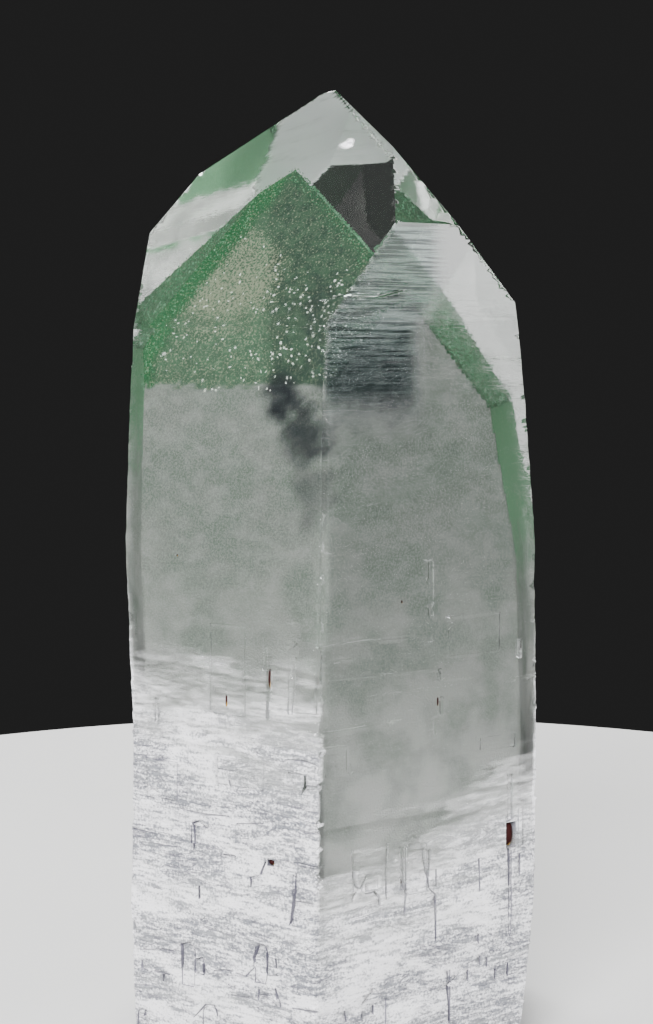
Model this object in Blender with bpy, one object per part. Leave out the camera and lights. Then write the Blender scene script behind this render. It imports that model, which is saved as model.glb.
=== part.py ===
"""Fuchsite in quartz: a clear quartz crystal that has grown over an older quartz crystal.

The older crystal is milky, and its tip is dusted with green fuchsite mica. Units are metres,
with +Z up and -Y at the front, where the edge between prism faces m1 and m2 points. The
origin is the centre of the base of the bounding box: the crystal stands on its cut base.
"""

from math import cos, radians, sin

import bmesh
import bpy
import numpy as np
from mathutils import Vector

MM = 0.001

# Quartz: the direction that each face looks in, in degrees from the front towards +X.
PRISM_FACES = {"m1": -30, "m2": 30, "m3": 90, "m4": 150, "m5": 210, "m6": 270}
TIP_FACES = {"r1": -30, "z1": 30, "r2": 90, "z2": 150, "r3": 210, "z3": 270}
TIP_SLOPE = 51.79

# Distance of faces m1 to m6 from the axis, in mm, at each height in mm above the base.
OUTER_PRISM = (
    (0.0, 16.9, 16.0, 16.2, 15.9, 15.4, 16.3),
    (6.8, 17.1, 16.1, 17.0, 16.1, 15.5, 16.4),
    (13.8, 17.1, 16.2, 17.6, 16.2, 15.6, 16.6),
    (22.4, 17.0, 16.2, 17.7, 16.2, 15.6, 16.3),
    (27.6, 16.9, 16.2, 17.65, 16.1, 15.5, 16.2),
    (44.5, 16.4, 16.0, 17.4, 15.8, 15.2, 16.7),
    (56.0, 15.8, 15.5, 16.5, 15.2, 14.6, 16.2),
    (62.0, 15.2, 15.1, 15.8, 14.7, 14.2, 15.8),
    (85.0, 13.5, 12.9, 12.8, 12.7, 12.4, 14.0),
)
INNER_PRISM = (
    (0.0, 15.3, 14.6, 14.7, 14.3, 13.8, 14.7),
    (27.6, 15.3, 14.8, 16.0, 14.4, 13.8, 14.6),
    (43.5, 14.8, 14.6, 15.5, 14.1, 13.5, 15.1),
    (55.0, 14.2, 14.1, 13.3, 13.3, 12.8, 14.8),
    (62.0, 13.7, 13.6, 12.0, 12.7, 12.3, 14.4),
    (85.0, 12.3, 11.5, 8.1, 10.5, 10.4, 13.2),
)
# Height in mm at which the plane of each tip face crosses the axis.
OUTER_TIP = {"r1": 81.3, "z1": 88.3, "r2": 83.7, "z2": 88.9, "r3": 83.7, "z3": 89.5}
INNER_TIP = {"r1": 74.9, "z1": 80.6, "r2": 72.2, "z2": 79.5, "r3": 76.0, "z3": 78.6}

GAP = 0.3                # between the inner crystal and its pocket, mm
LEDGE_RISE = 0.25        # height of a growth ledge that runs round the prism, mm
LEDGE_SPACING = 2.3      # mean height between two growth ledges, mm
LEDGE_DEPTH = 0.11       # deepest step of a random ledge, mm
FRONT_LEDGE_TOP = 38.0   # the front faces m1 and m2 are smooth above this height, mm
STEP_HEIGHT = 22.4       # the one bold step, low on face m3, mm
STEP_DEPTH = 0.2
CHIP_SIZE = 1.1          # radius of the bruises on the edges, mm
SEED = 11

# Chips on the edges: the prism face before the edge, and the chip's height in mm.
EDGE_CHIPS = (("m1", 0.0), ("m3", 0.2), ("m4", 31.0), ("m5", 0.3), ("m6", 12.0), ("m5", 47.0),
              ("m3", 38.0), ("m4", 0.0))

# Flat planes that blunt the tip: height where the plane crosses the axis, tilt, direction.
TIP_BREAKS = ((82.45, 9.0, 250.0), (83.4, 21.0, 215.0), (83.3, 24.0, 60.0))

# Marks on the two front faces, in mm: kind, distance along the face to the right of its
# middle, height of the mark's middle, width, length, and depth (a raised plate's is below 0).
MARKS = {
    "m1": (
        ("slot", 4.6, 19.6, 0.6, 0.5, 0.55),
        ("slot", 4.3, 33.0, 0.32, 4.0, 0.45),
        ("slot", 6.3, 34.3, 0.3, 5.2, 0.2),
        ("tongue", 7.8, 34.7, 2.0, 5.4, -0.16),
        ("block", 0.5, 34.7, 3.4, 7.2, -0.12),
        ("slot", -6.6, 30.7, 0.25, 2.0, 0.2),
        ("slot", -2.6, 20.8, 0.9, 1.5, 0.15),
        ("slot", 0.9, 19.6, 0.5, 0.15, 0.12),
        ("slot", 6.75, 17.0, 0.15, 4.0, 0.12),
        ("slot", 8.0, 19.9, 1.9, 0.18, 0.12),
        ("tongue", -3.5, 9.7, 1.2, 3.6, 0.16),
        ("slot", -2.4, 9.8, 0.7, 1.3, 0.14),
        ("tongue", 3.6, 11.1, 1.0, 3.1, 0.16),
        ("tongue", -1.2, 5.3, 1.7, 2.8, 0.16),
        ("tongue", -8.3, 3.8, 0.8, 2.2, 0.16),
        ("gable", 5.9, 5.2, 1.5, 3.0, 0.14),
        ("block", -5.9, 25.0, 3.0, 3.2, -0.1),
        ("block", 1.8, 26.5, 4.4, 2.2, -0.1),
    ),
    "m2": (
        ("slot", 8.4, 19.6, 0.85, 2.2, 0.65),
        ("slot", 8.35, 22.85, 0.3, 3.9, 0.2),
        ("slot", 8.45, 14.6, 0.15, 7.2, 0.12),
        ("block", 9.35, 20.1, 0.4, 3.4, -0.1),
        ("gable", -1.0, 18.7, 1.9, 5.0, 0.16),
        ("slot", -3.4, 20.0, 0.55, 1.7, 0.2),
        ("slot", -2.4, 18.5, 0.3, 3.5, 0.3),
        ("slot", -7.0, 19.1, 0.15, 3.4, 0.15),
        ("slot", -5.3, 17.9, 1.2, 1.4, 0.12),
        ("slot", 7.0, 27.7, 3.4, 1.1, 0.12),
        ("block", -8.6, 28.1, 2.0, 2.2, -0.1),
        ("slot", 1.3, 33.9, 0.18, 1.0, 0.2),
        ("slot", 1.4, 31.3, 0.18, 1.1, 0.2),
        ("slot", 0.3, 41.0, 0.12, 4.6, 0.1),
        ("slot", 2.3, 6.8, 0.15, 4.6, 0.15),
        ("gable", -5.0, 7.0, 2.2, 4.2, 0.14),
        ("block", 4.6, 37.0, 5.2, 3.2, -0.09),
    ),
}

QUARTZ = {"color": (0.86, 0.89, 0.87, 1.0), "roughness": 0.14, "clear": 1.0}
FUCHSITE = {"color": (0.20, 0.36, 0.25, 1.0), "roughness": 0.55, "clear": 0.0}


def clear_scene():
    for obj in list(bpy.data.objects):
        bpy.data.objects.remove(obj, do_unlink=True)


def looks(azimuth):
    """Unit vector that a face with this azimuth looks along, and the one to its right."""
    angle = radians(azimuth)
    return Vector((sin(angle), -cos(angle), 0.0)), Vector((cos(angle), sin(angle), 0.0))


def plane_normal(azimuth, slope):
    outward, _ = looks(azimuth)
    return outward * sin(radians(slope)) + Vector((0.0, 0.0, cos(radians(slope))))


def face_distance(profile, face, height):
    column = 1 + list(PRISM_FACES).index(face)
    return float(np.interp(height, [row[0] for row in profile], [row[column] for row in profile]))


def hexagon(distances, height):
    """Corners at one height, where each prism face meets the next one round."""
    corners = []
    azimuths = list(PRISM_FACES.values())
    for i in range(6):
        first, _ = looks(azimuths[i])
        second, _ = looks(azimuths[(i + 1) % 6])
        a, b = distances[i], distances[(i + 1) % 6]
        cross = first.x * second.y - first.y * second.x
        x = (a * second.y - b * first.y) / cross
        y = (b * first.x - a * second.x) / cross
        corners.append(Vector((x, y, height)) * MM)
    return corners


def growth_ledges(rng, top):
    """Heights of the ledges, and how far each one steps out on each of the six faces."""
    ledges = [(STEP_HEIGHT, [0.0, 0.05, STEP_DEPTH, 0.06, 0.0, 0.0])]
    height = 1.6
    while height < top:
        if abs(height - STEP_HEIGHT) > 1.0:
            steps = rng.uniform(0.0, LEDGE_DEPTH, 6) * (rng.random(6) > 0.45)
            if height > FRONT_LEDGE_TOP:
                steps[:2] = 0.0
            ledges.append((height, list(steps)))
        height += LEDGE_SPACING * rng.uniform(0.6, 1.5)
    return sorted(ledges)


def prism(profile, ledges=(), grow=0.0, bottom=0.0):
    """Closed six-sided prism that follows the profile, stepping out below each ledge."""
    heights = {row[0]: None for row in profile}
    for height, _ in ledges:
        heights[height - LEDGE_RISE / 2] = None
        heights[height + LEDGE_RISE / 2] = None
    bm = bmesh.new()
    rings = []
    for height in sorted(heights):
        distances = []
        for column, face in enumerate(PRISM_FACES):
            step = 0.0
            for i, (level, steps) in enumerate(ledges):
                above = ledges[i + 1][0] if i + 1 < len(ledges) else level + LEDGE_SPACING
                if level < height < above:
                    step = -steps[column] * (above - height) / (above - level)
            distances.append(face_distance(profile, face, height) + grow + step)
        rings.append([bm.verts.new(corner) for corner in hexagon(distances, height)])
    for vert in rings[0]:
        vert.co.z = bottom * MM
    for low, high in zip(rings, rings[1:]):
        for i in range(6):
            j = (i + 1) % 6
            bm.faces.new((low[i], low[j], high[j], high[i]))
    bm.faces.new(reversed(rings[0]))
    bm.faces.new(rings[-1])
    return bm


def slice_off(bm, point, normal):
    """Removes what lies beyond a plane and closes the cut with one flat face."""
    everything = bm.verts[:] + bm.edges[:] + bm.faces[:]
    cut = bmesh.ops.bisect_plane(bm, geom=everything, plane_co=point, plane_no=normal,
                                 dist=1e-7, clear_outer=True)
    rim = [item for item in cut["geom_cut"] if isinstance(item, bmesh.types.BMEdge)]
    if rim:
        bmesh.ops.contextual_create(bm, geom=rim)


def cut_tip(bm, tip, grow=0.0):
    for face, azimuth in TIP_FACES.items():
        height = tip[face] + grow / cos(radians(TIP_SLOPE))
        slice_off(bm, Vector((0.0, 0.0, height * MM)), plane_normal(azimuth, TIP_SLOPE))


def finish_mesh(bm, name):
    bmesh.ops.remove_doubles(bm, verts=bm.verts[:], dist=1e-6)
    bmesh.ops.recalc_face_normals(bm, faces=bm.faces[:])
    mesh = bpy.data.meshes.new(name)
    bm.to_mesh(mesh)
    bm.free()
    return mesh


def add_object(name, mesh, parent):
    obj = bpy.data.objects.new(name, mesh)
    obj.parent = parent
    bpy.context.scene.collection.objects.link(obj)
    return obj


def add_cutter(name, mesh, parent):
    obj = add_object(name, mesh, parent)
    obj.hide_render = True
    obj.display_type = "WIRE"
    return obj


def outline(kind, along, height, width, length):
    """Outline of a mark on its face, as (distance along the face, height) in mm."""
    left, right = along - width / 2, along + width / 2
    low, high = height - length / 2, height + length / 2
    if kind == "gable":
        shoulder = high - width * 0.55
        return [(left, low), (right, low), (right, shoulder), (along, high), (left, shoulder)]
    if kind == "tongue":
        arc = [(along + width / 2 * cos(radians(a)), high - width / 2 + width / 2 * sin(radians(a)))
               for a in range(0, 181, 36)]
        return [(left, low), (right, low)] + arc
    return [(left, low), (right, low), (right, high), (left, high)]


def add_mark(bm, face, kind, along, height, width, length, depth):
    """Adds the closed block that cuts a mark into a face, or that raises a plate on it."""
    outward, right = looks(PRISM_FACES[face])
    inner, outer = (-depth, 0.5) if depth > 0 else (-0.3, -depth)
    ends = []
    for offset in (inner, outer):
        ring = []
        for s, h in outline(kind, along, height, width, length):
            distance = face_distance(OUTER_PRISM, face, h) + offset
            point = outward * distance + right * s + Vector((0.0, 0.0, h))
            ring.append(bm.verts.new(point * MM))
        ends.append(ring)
    back, front = ends
    bm.faces.new(list(reversed(back)))
    bm.faces.new(front)
    for i in range(len(back)):
        j = (i + 1) % len(back)
        bm.faces.new((back[i], back[j], front[j], front[i]))


def hidden_marks(rng, face):
    """Marks for a face that is turned away, closer together towards the base."""
    marks = []
    for row, height in enumerate(range(4, 48, 6)):
        for along in (-6.0, -2.0, 2.0, 6.0):
            if rng.random() < 0.25 + 0.05 * row:
                continue
            kind = ("slot", "gable", "tongue", "block")[rng.integers(4)]
            width = rng.uniform(0.25, 2.6)
            length = rng.uniform(1.2, 4.6)
            depth = -rng.uniform(0.08, 0.13) if kind == "block" else rng.uniform(0.12, 0.3)
            place = (along + rng.uniform(-0.5, 0.5), height + rng.uniform(-0.4, 0.4))
            marks.append((kind, place[0], place[1], width, length, depth))
    return marks


def add_chip(bm, centre, size, rng):
    """Adds a small many-sided lump that bruises an edge where it reaches in."""
    lump = bmesh.ops.create_icosphere(bm, subdivisions=1, radius=size * MM)
    for vert in lump["verts"]:
        vert.co = vert.co * rng.uniform(0.75, 1.15) + centre * MM


def edge_point(face, height):
    """Point on the edge between a prism face of the outer crystal and the next one, in mm."""
    faces = list(PRISM_FACES)
    distances = [face_distance(OUTER_PRISM, each, height) for each in faces]
    return hexagon(distances, height)[faces.index(face)] / MM


def build_quartz(parent, rng):
    bm = prism(OUTER_PRISM, growth_ledges(rng, 60.0))
    cut_tip(bm, OUTER_TIP)
    for height, tilt, azimuth in TIP_BREAKS:
        slice_off(bm, Vector((0.0, 0.0, height * MM)), plane_normal(azimuth, tilt))
    crystal = add_object("quartz_crystal", finish_mesh(bm, "quartz_crystal"), parent)

    plates, cuts = bmesh.new(), bmesh.new()
    for face in PRISM_FACES:
        for mark in MARKS.get(face) or hidden_marks(rng, face):
            add_mark(cuts if mark[-1] > 0 else plates, face, *mark)
    for face, height in EDGE_CHIPS:
        corner = edge_point(face, height)
        outward = Vector((corner.x, corner.y, 0.0)).normalized()
        add_chip(cuts, corner + outward * CHIP_SIZE * 0.45, CHIP_SIZE, rng)

    for name, shape, operation in (("growth_plates", plates, "UNION"),
                                   ("growth_marks", cuts, "DIFFERENCE")):
        cutter = add_cutter(name, finish_mesh(shape, name), parent)
        change = crystal.modifiers.new(name, "BOOLEAN")
        change.operation = operation
        change.object = cutter
    return crystal


def build_phantom(parent):
    bm = prism(INNER_PRISM)
    cut_tip(bm, INNER_TIP)
    return add_object("fuchsite_phantom", finish_mesh(bm, "fuchsite_phantom"), parent)


def cut_pocket(crystal, parent):
    """Opens the pocket that holds the inner crystal, through the base of the outer one."""
    bm = prism(INNER_PRISM, grow=GAP, bottom=-3.0)
    cut_tip(bm, INNER_TIP, grow=GAP)
    pocket = add_cutter("pocket", finish_mesh(bm, "pocket"), parent)
    cut = crystal.modifiers.new("pocket", "BOOLEAN")
    cut.operation = "DIFFERENCE"
    cut.object = pocket


def dress(obj, look):
    material = bpy.data.materials.new(obj.name)
    material.use_nodes = True
    shader = material.node_tree.nodes["Principled BSDF"]
    shader.inputs["Base Color"].default_value = look["color"]
    shader.inputs["Roughness"].default_value = look["roughness"]
    shader.inputs["Metallic"].default_value = 0.0
    shader.inputs["Transmission Weight"].default_value = look["clear"]
    shader.inputs["IOR"].default_value = 1.544
    obj.data.materials.append(material)


def centre_on_base(specimen, crystal):
    """Moves the specimen so that its bounding box is centred over the origin."""
    bpy.context.view_layer.update()
    evaluated = crystal.evaluated_get(bpy.context.evaluated_depsgraph_get())
    corners = [Vector(corner) for corner in evaluated.bound_box]
    specimen.location.x = -(min(c.x for c in corners) + max(c.x for c in corners)) / 2
    specimen.location.y = -(min(c.y for c in corners) + max(c.y for c in corners)) / 2


def main():
    clear_scene()
    rng = np.random.default_rng(SEED)
    specimen = bpy.data.objects.new("specimen", None)
    bpy.context.scene.collection.objects.link(specimen)
    crystal = build_quartz(specimen, rng)
    phantom = build_phantom(specimen)
    cut_pocket(crystal, specimen)
    dress(crystal, QUARTZ)
    dress(phantom, FUCHSITE)
    centre_on_base(specimen, crystal)


main()
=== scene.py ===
"""Fuchsite in quartz: the looks of a clear quartz crystal grown over a green-dusted older one.

The file is laid out as an add-on and runs as a script. Lengths are in metres, apart from the
patterns of the materials and the tables and values below, which are in millimetres.
"""

from math import cos, degrees, pi, radians, sin

import bmesh
import bpy
import numpy as np
from bpy.props import FloatProperty, FloatVectorProperty, PointerProperty
from mathutils import Euler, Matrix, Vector, noise
from mathutils.bvhtree import BVHTree


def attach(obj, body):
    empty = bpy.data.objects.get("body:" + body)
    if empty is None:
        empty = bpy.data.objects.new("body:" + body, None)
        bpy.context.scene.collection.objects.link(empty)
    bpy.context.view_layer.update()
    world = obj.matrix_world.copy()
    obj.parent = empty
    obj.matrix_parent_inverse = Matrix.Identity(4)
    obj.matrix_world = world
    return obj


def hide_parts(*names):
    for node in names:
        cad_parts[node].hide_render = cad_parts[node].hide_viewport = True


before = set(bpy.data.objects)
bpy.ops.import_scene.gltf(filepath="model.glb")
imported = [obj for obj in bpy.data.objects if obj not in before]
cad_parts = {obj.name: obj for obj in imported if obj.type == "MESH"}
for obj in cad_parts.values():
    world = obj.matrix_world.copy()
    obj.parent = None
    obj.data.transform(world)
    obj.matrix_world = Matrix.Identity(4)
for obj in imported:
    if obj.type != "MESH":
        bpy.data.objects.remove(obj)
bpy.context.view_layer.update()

bl_info = {
    "name": "Fuchsite in quartz",
    "version": (1, 0, 0),
    "blender": (4, 5, 0),
    "location": "3D View > Sidebar > Quartz",
    "description": "Dresses the crystal in clear and milky quartz, fuchsite dust, mica flakes and stains",
    "category": "Object",
}

MM = 0.001
UP = Vector((0.0, 0.0, 1.0))
FLAT = radians(0.05)     # faces that turn by less than this are one face

# The crystal's long axis, and the direction that each face looks in, from the front towards +X.
AXIS = Vector((-0.535, 0.433, 0.0)) * MM
PRISM_FACES = {"m1": -30, "m2": 30, "m3": 90, "m4": 150, "m5": 210, "m6": 270}
TIP_FACES = {"r1": -30, "z1": 30, "r2": 90, "z2": 150, "r3": 210, "z3": 270}
TIP_SLOPE = 51.79

# Where the photograph was taken from: the distance is to the crystal's axis.
CAMERA_PLACE = Vector((0.04, -138.8, 59.4)) * MM
CAMERA_PITCH = 5.55
CAMERA_ROLL = 0.19
CAMERA_LENS = 55.4

# Etched lines on the two front faces, in mm: the groove's width, then the points that it runs
# through, as distance along the face to the right of its middle, and height above the base.
ETCHED = {
    "m1": (
        (0.14, (-2.8, 19.5), (-2.9, 21.7), (-2.4, 21.9), (-2.0, 21.6), (-1.5, 21.5)),
        (0.16, (0.1, 19.6), (1.3, 19.6)),
        (0.10, (4.1, 19.6), (3.6, 18.4), (2.7, 18.1), (2.7, 17.3)),
        (0.14, (6.8, 20.0), (9.1, 19.9)),
        (0.11, (6.9, 19.1), (6.8, 17.5), (6.5, 15.2), (6.3, 14.8)),
        (0.09, (6.8, 16.9), (8.5, 16.9)),
        (0.20, (-2.3, 16.6), (-2.3, 15.5)),
        (0.12, (-2.1, 13.7), (-1.7, 14.1)),
        (0.13, (-4.1, 9.3), (-4.1, 11.3), (-3.3, 11.6), (-2.9, 11.1), (-2.8, 10.3)),
        (0.10, (-8.3, 10.1), (-6.0, 10.5), (-4.3, 10.6)),
        (0.14, (-2.7, 10.3), (-2.1, 10.5), (-1.9, 9.9), (-2.0, 9.0), (-2.7, 9.2)),
        (0.14, (3.0, 10.7), (3.0, 11.6), (3.4, 12.7), (4.0, 12.6), (4.2, 12.1), (4.1, 9.7)),
        (0.10, (3.0, 10.7), (2.2, 9.8), (1.2, 9.9)),
        (0.14, (-0.9, 9.7), (0.0, 9.9), (0.9, 10.0)),
        (0.16, (0.5, 8.8), (1.2, 8.6)),
        (0.12, (0.8, 8.0), (2.6, 8.1)),
        (0.12, (4.3, 10.3), (5.3, 10.5)),
        (0.12, (5.0, 11.8), (5.1, 11.1)),
        (0.13, (3.4, 9.0), (3.4, 8.1)),
        (0.12, (3.4, 8.6), (4.4, 8.7)),
        (0.14, (5.0, 9.4), (5.2, 8.5), (5.5, 7.9)),
        (0.13, (6.6, 8.1), (8.8, 8.2)),
        (0.12, (-3.0, 5.3), (-1.8, 6.6), (-1.0, 6.7), (-0.7, 5.8)),
        (0.14, (-7.9, 4.9), (-8.2, 4.2), (-7.7, 3.9)),
        (0.12, (-8.2, 9.2), (-8.2, 8.4), (-7.6, 8.4)),
        (0.15, (-6.9, 8.5), (-5.4, 8.5)),
        (0.20, (-6.0, 8.4), (-6.0, 7.8)),
        (0.15, (7.4, 25.5), (7.7, 26.1), (7.7, 27.0)),
        (0.09, (7.7, 26.3), (8.9, 26.3)),
        (0.10, (0.7, 25.8), (0.8, 25.3)),
        (0.12, (-0.3, 26.6), (1.2, 26.6)),
        (0.11, (-4.4, 22.8), (-1.7, 22.6), (0.6, 22.8)),
        (0.12, (1.4, 22.3), (3.9, 22.7)),
        (0.09, (-9.2, 20.4), (-6.8, 20.3)),
        (0.16, (6.6, 37.1), (6.9, 37.4), (7.6, 37.5), (8.2, 37.4), (8.7, 37.1), (8.8, 36.4), (8.8, 34.3)),
        (0.18, (6.5, 37.5), (6.4, 36.2), (6.5, 34.5), (6.4, 31.7)),
        (0.12, (3.9, 36.7), (3.9, 34.9)),
        (0.14, (-1.2, 37.1), (-1.2, 31.2), (-0.6, 30.9)),
        (0.15, (-6.7, 31.7), (-6.4, 30.4), (-6.5, 29.6)),
        (0.13, (3.6, 39.0), (4.8, 38.9), (6.4, 38.6)),
        (0.10, (5.9, 28.1), (7.3, 28.2), (8.8, 28.0)),
        (0.10, (7.4, 32.0), (8.9, 32.0)),
        (0.10, (6.2, 27.1), (7.4, 27.1)),
    ),
    "m2": (
        (0.14, (-6.9, 20.3), (-6.9, 18.6), (-6.7, 17.7), (-6.3, 17.4), (-5.7, 18.5)),
        (0.12, (-6.7, 17.3), (-7.1, 16.6)),
        (0.14, (-5.9, 17.0), (-5.0, 17.0), (-4.6, 16.5), (-4.5, 15.8)),
        (0.10, (-3.9, 20.8), (-3.9, 16.2)),
        (0.12, (-2.0, 20.5), (-2.0, 17.2), (-2.2, 14.5)),
        (0.13, (-2.0, 20.7), (-1.4, 21.1), (-0.9, 20.8), (-0.3, 19.9), (-0.1, 18.2), (0.2, 16.4)),
        (0.11, (0.2, 16.4), (0.8, 15.8), (0.9, 11.8)),
        (0.24, (0.3, 19.6), (0.1, 17.4)),
        (0.10, (0.9, 17.9), (0.9, 16.4)),
        (0.12, (8.2, 24.6), (8.2, 20.8)),
        (0.18, (8.2, 18.5), (8.3, 15.1)),
        (0.12, (8.3, 15.1), (8.4, 10.8)),
        (0.12, (9.4, 17.8), (9.4, 15.9)),
        (0.12, (5.2, 11.6), (5.2, 10.8)),
        (0.14, (5.4, 9.7), (5.4, 8.9)),
        (0.12, (6.1, 9.4), (6.1, 8.6)),
        (0.15, (2.4, 4.5), (2.2, 7.7), (3.7, 8.8)),
        (0.10, (2.1, 9.0), (2.2, 7.8)),
        (0.12, (4.2, 8.7), (4.2, 7.7)),
        (0.12, (7.0, 8.2), (7.0, 7.3)),
        (0.14, (8.3, 8.5), (8.3, 7.3)),
        (0.12, (-5.0, 7.6), (-5.0, 6.8)),
        (0.12, (-7.7, 7.7), (-7.6, 6.8)),
        (0.10, (5.2, 18.1), (5.3, 15.3)),
        (0.14, (0.2, 41.9), (0.2, 40.2), (0.4, 39.5)),
        (0.16, (1.4, 34.4), (1.5, 33.5)),
        (0.16, (1.5, 32.1), (1.5, 30.7)),
        (0.10, (0.8, 30.4), (0.8, 29.0)),
        (0.16, (-9.7, 36.0), (-7.1, 36.1)),
        (0.10, (-9.7, 37.3), (-7.0, 37.5), (-4.4, 37.4)),
        (0.10, (-4.2, 37.3), (-1.6, 37.3), (0.5, 36.8)),
        (0.14, (9.1, 36.1), (9.1, 34.5)),
        (0.12, (7.8, 32.6), (8.8, 32.8)),
        (0.12, (4.9, 28.4), (4.9, 27.2), (8.6, 27.1)),
        (0.14, (-7.2, 27.7), (-7.2, 26.9)),
        (0.10, (-8.2, 63.9), (-6.0, 64.3), (-4.0, 64.2), (-1.8, 64.7)),
    ),
}

# Height in mm where each prism face turns from clear to frosted, at the face's middle, and how
# much higher that is per mm to the right.
FROST_LINE = {"m1": (28.9, -0.08), "m2": (16.6, 0.28), "m3": (26.0, -0.4), "m4": (31.0, 0.2),
              "m5": (33.0, -0.1), "m6": (31.0, 0.3)}

# Fuchsite dust on the inner crystal's faces: between these heights in mm it thins out to
# nothing downwards, and above them it is this thick.
DUST_FOOT = {"r1": (56.8, 57.8, 1.0), "r2": (50.0, 51.0, 1.0), "r3": (63.0, 64.2, 1.0),
             "z1": (50.0, 51.0, 1.0), "z2": (66.0, 74.0, 0.5), "z3": (50.0, 51.0, 1.0),
             "m1": (56.6, 57.6, 0.9), "m2": (61.0, 65.0, 0.7), "m3": (30.0, 56.0, 1.0),
             "m6": (40.0, 60.0, 0.75)}

# Dark clouds under the front faces of the inner crystal: x and height of the middle, half width and half
# height, in mm, and strength.
DARK_CLOUDS = ((-2.9, 56.2, 1.8, 2.4, 1.0), (-1.4, 53.4, 2.2, 2.8, 0.9), (-0.9, 49.4, 1.7, 3.4, 0.55),
         (5.0, 58.2, 1.9, 3.9, 1.0), (2.6, 58.2, 3.4, 3.2, 0.8), (0.4, 60.5, 1.4, 4.0, 0.4))

# Iron stains in the pits and slits: face, distance along it, height, width, length, and how
# thick they are over the pit's bottom, in mm.
STAINS = (("m1", 4.6, 19.6, 0.60, 0.50, 0.50), ("m1", 4.3, 34.3, 0.26, 1.6, 0.40),
          ("m1", 0.45, 32.2, 0.16, 0.9, 0.08), ("m2", 8.4, 19.6, 0.80, 2.1, 0.60),
          ("m2", -2.5, 17.4, 0.24, 0.4, 0.25), ("m2", 1.0, 31.8, 0.13, 0.7, 0.08),
          ("m2", -2.4, 40.2, 0.14, 0.24, 0.06), ("m1", -4.5, 43.6, 0.13, 0.18, 0.06))

GROOVE_WIDTH = 1.6       # factor on the widths in the table
GROOVE_DEPTH = 1.8       # of a groove, as a multiple of its width
GROOVE_LIFT = 0.22       # how far a groove's cutter stands proud of the face, mm
HIDDEN_LINES = 30        # etched lines on each face that is turned away
MARK_REACH = 1.5         # a mark's walls lie at most this far under its face, mm
FRONT_CHIPS = 26         # chips along the front edge
OTHER_CHIPS = 7          # chips along each other long edge
SKIN_SEED = 5
LEDGE_WEAR = 10          # rounds of smoothing over the growth ledges
SIDE_LEAN = 0.55         # a face is cut with a side when its normal has this share along the side's
SKIN_ROW = 0.3           # spacing of the skin's rows of vertices, mm
SKIN_COLUMN = 0.6        # spacing of its columns, mm
PHANTOM_CELL = 0.4       # spacing of the inner crystal's vertices at its tip, mm
PHANTOM_FOOT = 0.3 * MM  # height of the inner crystal's foot above the cut base
FLOOR_DROP = 0.02 * MM   # how far the floor lies under the cut base
FROST_BLUR = 11.0        # half the height over which the frost fades, mm

# Degrees off its face at which a mark's wall starts to take painted shade, and at which the painted shade is
# full.
WALL_TURN = (16.0, 55.0)

# Growth lines that sink a surface: how deep, how far one reaches across and up in mm, in how many
# steps, and the seed of their pattern.
TERRACES = (0.11, 5.5, 1.3, 12.0, 1.0)
FINE_STRIPES = (0.05, 4.0, 0.26, 40.0, 5.0)
DUST_GRAINS = (0.16, 0.5, 0.5, 40.0, 2.0)

# The finely striped zone on face m2, whose level lines are sunk into the mesh and carry a painted sheen:
# distances along the face and heights in mm at which each of its sides starts and at which it is full.
STRIPES_LEFT = (-9.8, -9.2)
STRIPES_RIGHT = (1.0, -1.5)
STRIPES_FOOT = (52.0, 57.5)
STRIPES_TOP = (70.5, 69.5)

# Between these two heights the striped zone gets this much wider to the right, in mm.
STRIPES_WIDER = (61.0, 66.0, 2.5)

# Tip faces with a bruised, frosted part: x in mm where it starts, and how frosted it is.
BRUISED_TIP = {"r3": (-3.6, 1.0), "z2": (-2.0, 0.9)}

# The bright chip in the front tip face: its place from the axis's foot, its radius, and the
# distances at which the frost around it ends and starts.
TIP_CHIP = Vector((1.9, -4.76, 77.27)) * MM
TIP_CHIP_SIZE = 0.46
TIP_CHIP_FROST = (0.66, 0.44)


def outward(azimuth):
    """Unit vector that a face with this azimuth looks along."""
    angle = radians(azimuth)
    return Vector((sin(angle), -cos(angle), 0.0))


def across(azimuth):
    """Unit vector that points right for someone who looks at the face."""
    angle = radians(azimuth)
    return Vector((cos(angle), sin(angle), 0.0))


def tip_normal(face):
    """Unit vector that a tip face looks along."""
    slope = radians(TIP_SLOPE)
    return outward(TIP_FACES[face]) * sin(slope) + UP * cos(slope)


NORMALS = {**{face: outward(azimuth) for face, azimuth in PRISM_FACES.items()},
           **{face: tip_normal(face) for face in TIP_FACES}}


def smooth(value, low, high):
    """0 at low, 1 at high, and an even change between them."""
    share = min(max((value - low) / (high - low), 0.0), 1.0)
    return share * share * (3.0 - 2.0 * share)


def rough(point, size, seed=0.0):
    """Noise from -1 to 1 that changes over about this many mm."""
    return noise.noise(point / (size * MM) + Vector((seed, 1.7 * seed, -seed)))


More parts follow.
